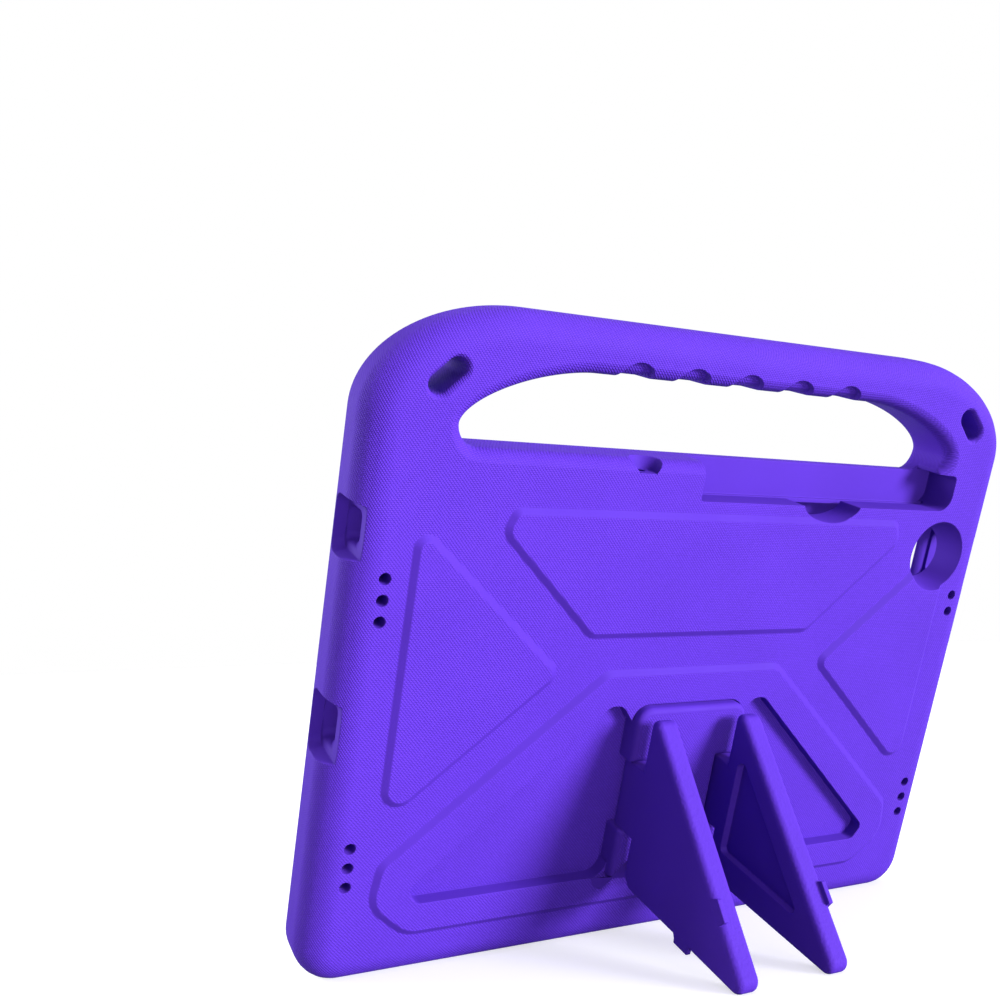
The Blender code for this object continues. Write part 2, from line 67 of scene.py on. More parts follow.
window = {
    "sideLip": 0.0061,
    "footLip": 0.0064,
    "topLip": 0.0064,
    "corner": 0.0025,
    "slope": 0.006,
    "edge": 0.0008,
    "notchHalf": 0.0106,
    "notchTopHalf": 0.0062,
    "notchRise": 0.005,
}
grip = {
    "overTablet": 0.0152,
    "high": 0.0259,
    "toSide": 0.0308,
    "flatToEnd": 0.0442,
    "endPower": 1.25,  # how straight the run from the flat top down to the end is
    "endRadius": 0.0073,
    "edge": 0.0055,
    "bar": 0.0170,  # handle above the hole
}
scoop = {"count": 5, "pitch": 0.02255, "radius": 0.0069, "overHole": 0.0053, "rise": 0.0007, "deep": 0.0018}
strap = {"toSide": 0.0239, "toTop": 0.0218, "wide": 0.0064, "long": 0.0136, "edge": 0.0024}

caseHalf = tablet["width"] / 2 + case["sideWall"]
tabletTop = case["footWall"] + tablet["height"]
tabletBack = tablet["lip"] + tablet["thick"] + tablet["ease"]
gripLow = tabletTop + grip["overTablet"]
gripHigh = gripLow + grip["high"]
caseHeight = gripHigh + grip["bar"]
panelLevel = case["depth"] + case["panelRise"]

backPanel = next(m for m in frame["record"]["mounts"] if m["name"] == "back_panel")
panelMiddle = 0.143  # height of that mount on the upright case
leanAngle = math.atan2(-backPanel["axis"][2], backPanel["axis"][1])
placeUpright = (
    Matrix.Translation(backPanel["pos_m"])
    @ Matrix.Rotation(-leanAngle, 4, "X")
    @ Matrix.Translation((0, -panelLevel, -panelMiddle))
)
print("stage frame: leans", round(math.degrees(leanAngle), 2), "degrees")


# Materials

violet = (0.0565, 0.0175, 0.31)


def addNode(tree, kind, place, **values):
    node = tree.nodes.new(kind)
    node.location = place
    for name, value in values.items():
        setattr(node, name, value)
    return node


def mathNode(tree, place, operation, first, second=None, third=None):
    node = addNode(tree, "ShaderNodeMath", place, operation=operation)
    for index, value in enumerate((first, second, third)):
        if value is None:
            continue
        if isinstance(value, (int, float)):
            node.inputs[index].default_value = value
        else:
            tree.links.new(value, node.inputs[index])
    return node.outputs[0]


def newGroup(name, inputs, outputs):
    tree = bpy.data.node_groups.new(name, "ShaderNodeTree")
    for label, kind, default in inputs:
        socket = tree.interface.new_socket(label, in_out="INPUT", socket_type=kind)
        if default is not None:
            socket.default_value = default
    for label, kind in outputs:
        tree.interface.new_socket(label, in_out="OUTPUT", socket_type=kind)
    source = addNode(tree, "NodeGroupInput", (-1400, 0))
    target = addNode(tree, "NodeGroupOutput", (900, 0))
    return tree, source, target


def buildWeaveGroup():
    # Rows of small raised dots, each row half a dot along from the one below it
    tree, source, target = newGroup(
        "embossedWeave",
        [("Vector", "NodeSocketVector", None), ("Pitch", "NodeSocketFloat", 0.00112),
         ("Row Pitch", "NodeSocketFloat", 0.00062), ("Slant", "NodeSocketFloat", -0.25)],
        [("Height", "NodeSocketFloat"), ("Dot Highlight Tone", "NodeSocketFloat")],
    )
    split = addNode(tree, "ShaderNodeSeparateXYZ", (-1200, 0))
    tree.links.new(source.outputs["Vector"], split.inputs[0])
    # Over the edges the rows and the dots go on along the wall
    around = mathNode(tree, (-1100, 260), "ABSOLUTE", split.outputs["X"])
    around = mathNode(tree, (-1000, 260), "SUBTRACT", around, split.outputs["Y"])
    over = mathNode(tree, (-1100, -260), "MULTIPLY_ADD", split.outputs["Y"], -0.5, split.outputs["Z"])
    rowPlace = mathNode(tree, (-1000, -120), "DIVIDE", over, source.outputs["Row Pitch"])
    rowIndex = mathNode(tree, (-820, -120), "FLOOR", rowPlace)
    rowPart = mathNode(tree, (-640, -200), "SUBTRACT", rowPlace, rowIndex)
    half = mathNode(tree, (-640, -40), "MULTIPLY", rowIndex, 0.5)
    along = mathNode(tree, (-1000, 120), "DIVIDE", around, source.outputs["Pitch"])
    shifted = mathNode(tree, (-460, 100), "ADD", along, half)
    slanted = mathNode(tree, (-460, -60), "MULTIPLY_ADD", rowPart, source.outputs["Slant"], shifted)
    dotPart = mathNode(tree, (-280, 60), "FRACT", slanted)
    # A cosine hump along the row and across it
    dotTurn = mathNode(tree, (-190, 60), "MULTIPLY", dotPart, math.pi)
    dotWave = mathNode(tree, (-100, 60), "SINE", dotTurn)
    dotWave = mathNode(tree, (-50, 60), "POWER", dotWave, 2.2)
    rowTurn = mathNode(tree, (-190, -160), "MULTIPLY", rowPart, math.pi)
    rowWave = mathNode(tree, (-100, -160), "SINE", rowTurn)
    hump = mathNode(tree, (80, 0), "MULTIPLY", dotWave, rowWave)
    height = mathNode(tree, (260, 0), "SMOOTH_MIN", hump, 0.62, 0.25)
    tree.links.new(height, target.inputs["Height"])
    # Every dot takes the colour a touch differently; in the foam this random tone sets how strong each
    # dot's painted highlight is
    dotIndex = mathNode(tree, (-280, 260), "FLOOR", slanted)
    cell = addNode(tree, "ShaderNodeCombineXYZ", (-100, 260))
    tree.links.new(dotIndex, cell.inputs["X"])
    tree.links.new(rowIndex, cell.inputs["Y"])
    tone = addNode(tree, "ShaderNodeTexWhiteNoise", (80, 260), noise_dimensions="3D")
    tree.links.new(cell.outputs[0], tone.inputs["Vector"])
    tree.links.new(tone.outputs["Value"], target.inputs["Dot Highlight Tone"])
    return tree


def buildUprightGroup(angle):
    # Coordinates and facing of the upright case, worked out from the object's own
    tree, source, target = newGroup(
        "uprightPlace", [], [("Place", "NodeSocketVector"), ("Facing", "NodeSocketFloat")]
    )
    coordinates = addNode(tree, "ShaderNodeTexCoord", (-1200, 0))
    place = addNode(tree, "ShaderNodeMapping", (-900, 120), vector_type="POINT")
    facing = addNode(tree, "ShaderNodeMapping", (-900, -240), vector_type="NORMAL")
    for node, output in ((place, "Object"), (facing, "Normal")):
        node.inputs["Rotation"].default_value = (angle, 0, 0)
        tree.links.new(coordinates.outputs[output], node.inputs["Vector"])
    split = addNode(tree, "ShaderNodeSeparateXYZ", (-700, -240))
    tree.links.new(facing.outputs[0], split.inputs[0])
    flat = mathNode(tree, (-500, -240), "ABSOLUTE", split.outputs["Y"])
    tree.links.new(place.outputs[0], target.inputs["Place"])
    tree.links.new(flat, target.inputs["Facing"])
    return tree


def buildSkinGroup():
    # The moulding's own skin: fine pores, slow waves of tone, and the places that hands polish
    tree, source, target = newGroup(
        "mouldedSkin",
        [("Vector", "NodeSocketVector", None), ("Pore Size", "NodeSocketFloat", 0.0004)],
        [("Pores", "NodeSocketFloat"), ("Tone", "NodeSocketFloat"), ("Polish", "NodeSocketFloat")],
    )
    perMetre = mathNode(tree, (-1100, 200), "DIVIDE", 1.0, source.outputs["Pore Size"])
    pores = addNode(tree, "ShaderNodeTexNoise", (-800, 200), noise_dimensions="3D")
    pores.inputs["Detail"].default_value = 2.0
    pores.inputs["Roughness"].default_value = 0.55
    tree.links.new(perMetre, pores.inputs["Scale"])
    waves = addNode(tree, "ShaderNodeTexNoise", (-800, -100), noise_dimensions="3D")
    waves.inputs["Scale"].default_value = 34.0
    waves.inputs["Detail"].default_value = 3.0
    polish = addNode(tree, "ShaderNodeTexNoise", (-800, -400), noise_dimensions="3D")
    polish.inputs["Scale"].default_value = 90.0
    polish.inputs["Detail"].default_value = 4.0
    for node in (pores, waves, polish):
        tree.links.new(source.outputs["Vector"], node.inputs["Vector"])
    tree.links.new(pores.outputs["Fac"], target.inputs["Pores"])
    tree.links.new(waves.outputs["Fac"], target.inputs["Tone"])
    tree.links.new(polish.outputs["Fac"], target.inputs["Polish"])
    return tree


weaveGroup = buildWeaveGroup()
uprightGroup = buildUprightGroup(leanAngle)
skinGroup = buildSkinGroup()


def buildFoam(name, weave, poreSize, poreDepth, paintedShadeTone):
    # weave: how deep the dots are, in metres; the tone argument: how light the foam is, set lower as
    # painted shade for walls, bevels and the legs
    material = bpy.data.materials.new(name)
    material.use_nodes = True
    tree = material.node_tree
    shader = tree.nodes["Principled BSDF"]
    shader.location = (900, 0)
    shader.inputs["Metallic"].default_value = 0.0
    shader.inputs["Specular IOR Level"].default_value = 0.05
    upright = addNode(tree, "ShaderNodeGroup", (-1200, 100), node_tree=uprightGroup)
    skin = addNode(tree, "ShaderNodeGroup", (-900, -350), node_tree=skinGroup)
    skin.inputs["Pore Size"].default_value = poreSize
    tree.links.new(upright.outputs["Place"], skin.inputs["Vector"])

    pores = mathNode(tree, (-600, -300), "MULTIPLY", skin.outputs["Pores"], poreDepth)
    height = pores
    tone = mathNode(tree, (-600, -500), "MULTIPLY_ADD", skin.outputs["Tone"], 0.16, paintedShadeTone)
    if weave > 0:
        dots = addNode(tree, "ShaderNodeGroup", (-900, 250), node_tree=weaveGroup)
        tree.links.new(upright.outputs["Place"], dots.inputs["Vector"])
        fade = addNode(tree, "ShaderNodeMapRange", (-900, 0), interpolation_type="SMOOTHSTEP")
        # The dots run out where the wall turns away from the back and the front
        fade.inputs["From Min"].default_value = -0.20
        fade.inputs["From Max"].default_value = 0.35
        tree.links.new(upright.outputs["Facing"], fade.inputs["Value"])
        raised = mathNode(tree, (-600, 200), "MULTIPLY", dots.outputs["Height"], fade.outputs["Result"])
        height = mathNode(tree, (-300, 100), "MULTIPLY_ADD", raised, weave, pores)
        # Painted light: the raised dots are painted lighter, each by a random amount, and the woven faces
        # darker round them, a painted highlight on the dot tops and painted shade in the grooves
        dotHighlight = mathNode(tree, (-450, 420), "MULTIPLY_ADD", dots.outputs["Dot Highlight Tone"], 0.22, 0.42)
        grooveShade = mathNode(tree, (-450, 560), "MULTIPLY", fade.outputs["Result"], -0.17)
        paintedReliefLight = mathNode(tree, (-300, 420), "MULTIPLY_ADD", dotHighlight, raised, grooveShade)
        tone = mathNode(tree, (-150, 300), "ADD", tone, paintedReliefLight)

    colour = addNode(tree, "ShaderNodeMix", (300, 250), data_type="RGBA", blend_type="MULTIPLY")
    colour.inputs["Factor"].default_value = 1.0
    colour.inputs["A"].default_value = (*violet, 1)
    tree.links.new(tone, colour.inputs["B"])
    tree.links.new(colour.outputs["Result"], shader.inputs["Base Color"])
    rough = mathNode(tree, (300, -150), "MULTIPLY_ADD", skin.outputs["Polish"], 0.18, 0.58)
    tree.links.new(rough, shader.inputs["Roughness"])
    bump = addNode(tree, "ShaderNodeBump", (600, -350))
    bump.inputs["Distance"].default_value = 1.0
    bump.inputs["Strength"].default_value = 1.0
    tree.links.new(height, bump.inputs["Height"])
    tree.links.new(bump.outputs["Normal"], shader.inputs["Normal"])
    return material


# smoothFoam, on the walls, bevels and hole sides and on the legs' flat sides, and stippledFoam, on the
# legs' rims, are painted darker than wovenFoam: painted shade for how the light falls on these faces
wovenFoam = buildFoam("wovenFoam", 0.00021, 0.0004, 0.00004, 0.94)
smoothFoam = buildFoam("smoothFoam", 0, 0.0005, 0.00003, 0.78)
stippledFoam = buildFoam("stippledFoam", 0, 0.0010, 0.00022, 0.82)
foams = [wovenFoam, smoothFoam, stippledFoam]
woven, smooth, stippled = range(3)


def buildPinSteel():
    material = bpy.data.materials.new("drawnSteel")
    material.use_nodes = True
    tree = material.node_tree
    shader = tree.nodes["Principled BSDF"]
    shader.inputs["Metallic"].default_value = 1.0
    coordinates = addNode(tree, "ShaderNodeTexCoord", (-900, 0))
    stretch = addNode(tree, "ShaderNodeMapping", (-700, 0))
    stretch.inputs["Scale"].default_value = (4000, 4000, 60)
    scratches = addNode(tree, "ShaderNodeTexNoise", (-500, 0))
    scratches.inputs["Scale"].default_value = 1.0
    tree.links.new(coordinates.outputs["Object"], stretch.inputs["Vector"])
    tree.links.new(stretch.outputs[0], scratches.inputs["Vector"])
    tone = mathNode(tree, (-300, 100), "MULTIPLY_ADD", scratches.outputs["Fac"], 0.2, 0.42)
    tree.links.new(tone, shader.inputs["Base Color"])
    rough = mathNode(tree, (-300, -100), "MULTIPLY_ADD", scratches.outputs["Fac"], 0.25, 0.2)
    tree.links.new(rough, shader.inputs["Roughness"])
    return material


print("stage materials:", [m.name for m in foams])


# Outlines and rings

cornerSteps = 14
edgeSteps = 9


def cornerArc(before, here, after, radius):
    back = (before - here).normalized()
    ahead = (after - here).normalized()
    half = back.angle(ahead) / 2
    centre = here + (back + ahead).normalized() * (radius / math.sin(half))
    start = here + back * (radius / math.tan(half)) - centre
    end = here + ahead * (radius / math.tan(half)) - centre
    first = math.atan2(start.y, start.x)
    sweep = (math.atan2(end.y, end.x) - first + math.pi) % (2 * math.pi) - math.pi
    return centre, first, sweep


def rounded(corners):
    points = []
    for index, (u, v, radius) in enumerate(corners):
        if radius == 0:
            points.append((u, v))
            continue
        before = Vector(corners[index - 1][:2])
        after = Vector(corners[(index + 1) % len(corners)][:2])
        centre, first, sweep = cornerArc(before, Vector((u, v)), after, radius)
        steps = max(3, round(cornerSteps * abs(sweep) / (math.pi / 2)))
        for step in range(steps + 1):
            angle = first + sweep * step / steps
            points.append((centre.x + radius * math.cos(angle), centre.y + radius * math.sin(angle)))
    return points


def mirrored(right):
    return right + [(-corner[0], *corner[1:]) for corner in reversed(right)]


def grown(points, distance):
    moved = []
    for index, point in enumerate(points):
        here = Vector(point)
        ahead = (Vector(points[(index + 1) % len(points)]) - here).normalized()
        back = (here - Vector(points[index - 1])).normalized()
        outA = Vector((ahead.y, -ahead.x))
        outB = Vector((back.y, -back.x))
        place = here + (outA + outB) * (distance / (1 + outA.dot(outB)))
        moved.append((place.x, place.y))
    return moved


def easedLevels(low, high, lowRadius, highRadius, steps=edgeSteps):
    turn = [math.pi / 2 * step / steps for step in range(steps + 1)]
    first = [(low + lowRadius * (1 - math.cos(a)), lowRadius * (math.sin(a) - 1)) for a in turn]
    last = [(high - highRadius * (1 - math.cos(a)), highRadius * (math.sin(a) - 1)) for a in turn]
    return first + last[::-1]


def flaredLevels(low, high, radius, steps=edgeSteps, past=0.00015):
    turn = [math.pi / 2 * step / steps for step in range(steps + 1)]
    first = [(low - past + radius * (1 - math.cos(a)), radius * (1 - math.sin(a))) for a in turn]
    last = [(high + past - radius * (1 - math.cos(a)), radius * (1 - math.sin(a))) for a in turn]
    return first + last[::-1]


def alongX(u, v, w):
    return (w, u, v)


def alongY(u, v, w):
    return (u, w, v)


def plate(outline, levels, place=alongY):
    return [[place(u, v, w) for u, v in grown(outline, growth)] for w, growth in levels]


def roundPoints(u, v, radius, steps=48):
    turns = [2 * math.pi * step / steps for step in range(steps)]
    return [(u + radius * math.cos(a), v + radius * math.sin(a)) for a in turns]


def boxOutline(lowU, highU, lowV, highV, radius):
    corners = ((lowU, lowV), (highU, lowV), (highU, highV), (lowU, highV))
    return rounded([(u, v, radius) for u, v in corners])


def ringMesh(name, bodies, wall=woven, cap=woven):
    # Closed bodies through rings of equally many points, with one foam for the walls and one for the caps
    work = bmesh.new()
    for rings in bodies:
        levels = [[work.verts.new(point) for point in ring] for ring in rings]
        count = len(levels[0])
        for low, high in zip(levels, levels[1:]):
            for index in range(count):
                after = (index + 1) % count
                work.faces.new((low[index], low[after], high[after], high[index])).material_index = wall
        for level in (levels[0], levels[-1]):
            work.faces.new(level).material_index = cap
    bmesh.ops.recalc_face_normals(work, faces=work.faces)
    mesh = bpy.data.meshes.new(name)
    work.to_mesh(mesh)
    work.free()
    for foam in foams:
        mesh.materials.append(foam)
    return mesh


def newPiece(name, mesh):
    piece = bpy.data.objects.new(name, mesh)
    bpy.context.scene.collection.objects.link(piece)
    return piece


def shape(piece, name, mesh, operation="DIFFERENCE"):
    tool = newPiece(name, mesh)
    tool.hide_render = True
    modifier = piece.modifiers.new(name, "BOOLEAN")
    modifier.operation = operation
    modifier.solver = "EXACT"
    modifier.material_mode = "TRANSFER"
    modifier.object = tool
    return tool


def applied(piece):
    # The evaluated shape as a plain mesh, with the tools that made it taken away
    bpy.context.view_layer.update()
    graph = bpy.context.evaluated_depsgraph_get()
    made = bpy.data.meshes.new_from_object(piece.evaluated_get(graph))
    tools = [m.object for m in piece.modifiers if m.type == "BOOLEAN"]
    while piece.modifiers:
        piece.modifiers.remove(piece.modifiers[0])
    for tool in tools:
        bpy.data.objects.remove(tool)
    piece.data = made
    return piece


def flatShaded(mesh, onePlane=0.9999, oneBend=0.66):
    # Every corner takes the direction of the largest flats round it, so that flats stay flat.
    # onePlane and oneBend: cosines below which two faces are no flat, or are parted by a crease
    work = bmesh.new()
    work.from_mesh(mesh)
    work.faces.ensure_lookup_table()
    size = [0.0] * len(work.faces)
    seen = set()
    for start in work.faces:
        if start.index in seen:
            continue
        seen.add(start.index)
        flat = [start]
        for face in flat:
            for edge in face.edges:
                for other in edge.link_faces:
                    if other.index not in seen and other.normal.dot(start.normal) > onePlane:
                        seen.add(other.index)
                        flat.append(other)
        area = sum(face.calc_area() for face in flat)
        for face in flat:
            size[face.index] = area
    directions = []
    for face in work.faces:
        for corner in face.loops:
            total = Vector()
            for other in corner.vert.link_faces:
                if other.normal.dot(face.normal) > oneBend:
                    total += other.normal * size[other.index]
            directions.append(total.normalized())
    work.free()
    for face in mesh.polygons:
        face.use_smooth = True
    mesh.normals_split_custom_set(directions)


def softened(piece, width, angle=24, segments=2):
    # Rounds the edges that the moulding has
    bevel = piece.modifiers.new("softEdges", "BEVEL")
    bevel.width = width
    bevel.segments = segments
    bevel.limit_method = "ANGLE"
    bevel.angle_limit = math.radians(angle)
    bevel.use_clamp_overlap = False
    bevel.loop_slide = False
    applied(piece)
    flatShaded(piece.data)
    return piece


# The case

def caseOutline():
    points = []
    corner = case["bottomCorner"]
    for step in range(cornerSteps + 1):
        angle = math.pi / 2 * (step / cornerSteps - 1)
        points.append((caseHalf - corner * (1 - math.cos(angle)), corner * (1 + math.sin(angle))))
    run, rise = case["topCornerRun"], case["topCornerRise"]
    for step in range(33):
        angle = math.pi / 2 * step / 32
        points.append((caseHalf - run * (1 - math.cos(angle)), caseHeight - rise * (1 - math.sin(angle))))
    return mirrored(points)


def gripOutline():
    radius = grip["endRadius"]
    half = caseHalf - grip["toSide"]
    flatHalf = half - grip["flatToEnd"]
    endHeight = gripLow + radius
    right = []
    for step in range(cornerSteps + 1):
        angle = math.pi / 2 * (step / cornerSteps - 1)
        right.append((half - radius * (1 - math.cos(angle)), endHeight + radius * math.sin(angle)))
    for step in range(1, 29):
        angle = math.pi / 2 * step / 28
        right.append((
            flatHalf + grip["flatToEnd"] * math.cos(angle) ** grip["endPower"],
            endHeight + (gripHigh - endHeight) * math.sin(angle) ** grip["endPower"],
        ))
    return mirrored(right)


def panelOutlines():
    half, top = caseHalf, tabletTop
    crown = mirrored([
        (half - 0.0874, top - 0.0470, 0.006),
        (half - 0.0485, top - 0.0109, 0.006),
        (half - 0.0520, top - 0.0022, 0.004),
    ])
    side = [
        (half - 0.0197, 0.0579, 0.0066),
        (half - 0.0197, top - 0.0064, 0.0044),
        (half - 0.0797, top - 0.0589, 0.005),
    ]
    foot = mirrored([
        (half - 0.0345, 0.0173, 0.013),
        (half - 0.0198, 0.0300, 0.012),
        (half - 0.0220, 0.0455, 0.008),
        (half - 0.0970, top - 0.0586, 0.008),
    ])
    otherSide = [(-u, v, radius) for u, v, radius in reversed(side)]
    return [rounded(corners) for corners in (crown, side, otherSide, foot)]


stand = {
    "wellLow": 0.0297,
    "wellUnderTop": 0.0719,
    "wellDepth": 0.0050,
    "tipLowToSide": 0.0375,
    "tipHighToSide": 0.0335,
    "tipRise": 0.0058,
    "tipCorner": 0.003,
    "shoulder": 0.0340,
    "shoulderCorner": 0.0045,
    "archReach": 0.0047,
    "archCorner": 0.005,
    "heelRadius": 0.0062,
    "gap": 0.0003,
    "hingeX": 0.0184,
    "bracketHalf": 0.0240,
    "bracketCorner": 0.006,
    "bracketEdge": 0.0021,
    "belowLeg": 0.0004,
    "knuckleLow": 0.304,  # shares of the well's height
    "knuckleHigh": 0.689,
}
leg = {
    "thick": 0.0086,
    "edge": 0.0024,
    "corners": (0.0028, 0.0028, 0.0036, 0.0032, 0.0026),  # from the heel round by the tip
    "heel": 0.0086,
    "heelCut": 0.0039,
    "shoulder": 0.0127,
    "underTop": 0.0010,
    "overFoot": 0.0020,
    "tipBack": 0.00345,
    "tipRise": 0.0042,
    "tabHigh": 0.0019,
    "tabThick": 0.0020,
    "tabLong": 0.0084,
    "tabFootReach": 0.0450,
    "tabSlopeReach": 0.0585,
    "dishDeep": 0.0030,
    "dishMargin": 0.0078,
    "dishFootMargin": 0.0098,
    "dishHeel": 0.0150,
    "dishCorners": (0.0020, 0.0018, 0.0026),
}
wellLow = stand["wellLow"]
wellHigh = tabletTop - stand["wellUnderTop"]
wellFloor = panelLevel - stand["wellDepth"]
hingeY = wellFloor + stand["gap"] + leg["thick"] / 2
knuckle = [wellLow + stand[name] * (wellHigh - wellLow) for name in ("knuckleLow", "knuckleHigh")]


def wellOutline():
    corner = stand["bracketCorner"] + stand["gap"]
    edge = stand["bracketHalf"] + stand["gap"]
    heel = stand["heelRadius"]
    lowTip, highTip = caseHalf - stand["tipLowToSide"], caseHalf - stand["tipHighToSide"]
    turns = [math.pi / 2 * step / cornerSteps for step in range(cornerSteps + 1)]
    right = [(edge, wellLow)]
    right += [(edge + heel * (1 - math.cos(a)), wellLow + heel * (1 - math.sin(a))) for a in turns]
    right += rounded([
        (0, wellLow, 0),
        (lowTip, wellLow, stand["tipCorner"]),
        (highTip, wellLow + stand["tipRise"], stand["tipCorner"]),
        (stand["shoulder"], wellHigh, stand["shoulderCorner"]),
        (edge + stand["archReach"], wellHigh, stand["archCorner"]),
        (edge, wellHigh - corner, 0),
        (0, wellHigh - corner, 0),
    ])[1:-1]
    right += [(edge - corner * (1 - math.cos(a)), wellHigh - corner * (1 - math.sin(a))) for a in turns[1:]]
    return mirrored(right)


openings = {
    "slotToSide": 0.0254,
    "slotLong": 0.1213,
    "slotUnderTop": 0.0014,
    "slotLip": 0.0020,  # the rim behind the tablet stands over its top
    "slotFront": 0.0090,
    "slotCeiling": 0.0009,
    "thumbX": -0.0488,
    "thumbHalf": 0.0138,
    "thumbDrop": 0.0058,
    "lensToSide": 0.0266,
    "lensUnderTop": 0.0159,
    "lensMouth": 0.0141,
    "lensFloor": 0.0105,
    "soundX": 0.0352,
    "soundFloor": 0.0045,  # under the hole
    "speakerToSide": 0.0120,
    "speakerRadius": 0.0019,
    "speakerPitch": 0.0069,
    "speakerUnderTop": 0.0328,
    "speakerLow": 0.0454,
    "portDeep": 0.0064,
    "portFlare": 0.0125,
    "portFlareRun": 0.0039,
    "portEndFlare": 0.0028,
    "portCorner": 0.0022,
    "portCornerGrowth": 0.0012,
}
# Side, distance of the middle under the tablet's top, length
ports = ((1, 0.0128, 0.0105), (1, 0.0776, 0.0130), (-1, 0.0197, 0.0165))


def portRings(side, underTop, length):
    # Straight at the tablet, then a bell mouth that runs out over the rounded rear edge
    front = tabletBack - openings["portDeep"] - 0.0004
    inner = tablet["width"] / 2 + 0.0012
    run, middle = openings["portFlareRun"], tabletTop - underTop
    steps = [(inner - 0.0022, 0), (inner, 0)]
    for step in range(1, 15):
        turn = math.pi / 2 * step / 14
        steps.append((inner + run * math.sin(turn), 1 - math.cos(turn)))
    steps.append((caseHalf + 0.002, 1.3))
    rings = []
    for w, flare in steps:
        ends = openings["portEndFlare"] * flare ** 2
        outline = boxOutline(
            front,
            front + openings["portDeep"] + openings["portFlare"] * flare,
            middle - length / 2 - ends,
            middle + length / 2 + ends,
            openings["portCorner"] + openings["portCornerGrowth"] * flare,
        )
        rings.append([alongX(u, v, side * w) for u, v in outline])
    return rings


def repeatedTool(name, start, step, count, mesh):
    # Geometry Nodes: the same tool set out along a line
    tree = bpy.data.node_groups.new(name + "Row", "GeometryNodeTree")
    for label, kind in (
        ("Start", "Vector"), ("Step", "Vector"), ("Count", "Int"), ("Tool", "Object"), ("Foam", "Material"),
    ):
        tree.interface.new_socket(label, in_out="INPUT", socket_type="NodeSocket" + kind)
    tree.interface.new_socket("Geometry", in_out="OUTPUT", socket_type="NodeSocketGeometry")
    source = addNode(tree, "NodeGroupInput", (-700, 0))
    target = addNode(tree, "NodeGroupOutput", (700, 0))
    line = addNode(tree, "GeometryNodeMeshLine", (-450, 100), mode="OFFSET")
    toolInfo = addNode(tree, "GeometryNodeObjectInfo", (-450, -200))
    instances = addNode(tree, "GeometryNodeInstanceOnPoints", (-150, 0))
    realize = addNode(tree, "GeometryNodeRealizeInstances", (100, 0))
    finish = addNode(tree, "GeometryNodeSetMaterial", (350, 0))
    for output, socket in (
        (source.outputs["Start"], line.inputs["Start Location"]),
        (source.outputs["Step"], line.inputs["Offset"]),
        (source.outputs["Count"], line.inputs["Count"]),
        (source.outputs["Tool"], toolInfo.inputs["Object"]),
        (line.outputs["Mesh"], instances.inputs["Points"]),
        (toolInfo.outputs["Geometry"], instances.inputs["Instance"]),
        (instances.outputs["Instances"], realize.inputs["Geometry"]),
        (realize.outputs["Geometry"], finish.inputs["Geometry"]),
        (source.outputs["Foam"], finish.inputs["Material"]),
        (finish.outputs["Geometry"], target.inputs["Geometry"]),
    ):
        tree.links.new(output, socket)
    tool = newPiece(name + "Tool", mesh)
    row = newPiece(name, bpy.data.meshes.new(name))
    modifier = row.modifiers.new("row", "NODES")
    modifier.node_group = tree
    values = {"Start": start, "Step": step, "Count": count, "Tool": tool, "Foam": mesh.materials[smooth]}
    for item in tree.interface.items_tree:
        if item.in_out == "INPUT":
            modifier[item.identifier] = values[item.name]
    applied(row)
    made = row.data
    bpy.data.objects.remove(row)
    bpy.data.objects.remove(tool)
    return made


def joined(name, meshes):
    # Several tools as one mesh
    work = bmesh.new()
    for mesh in meshes:
        work.from_mesh(mesh)
    out = bpy.data.meshes.new(name)
    work.to_mesh(out)
    work.free()
    for foam in foams:
        out.materials.append(foam)
    return out


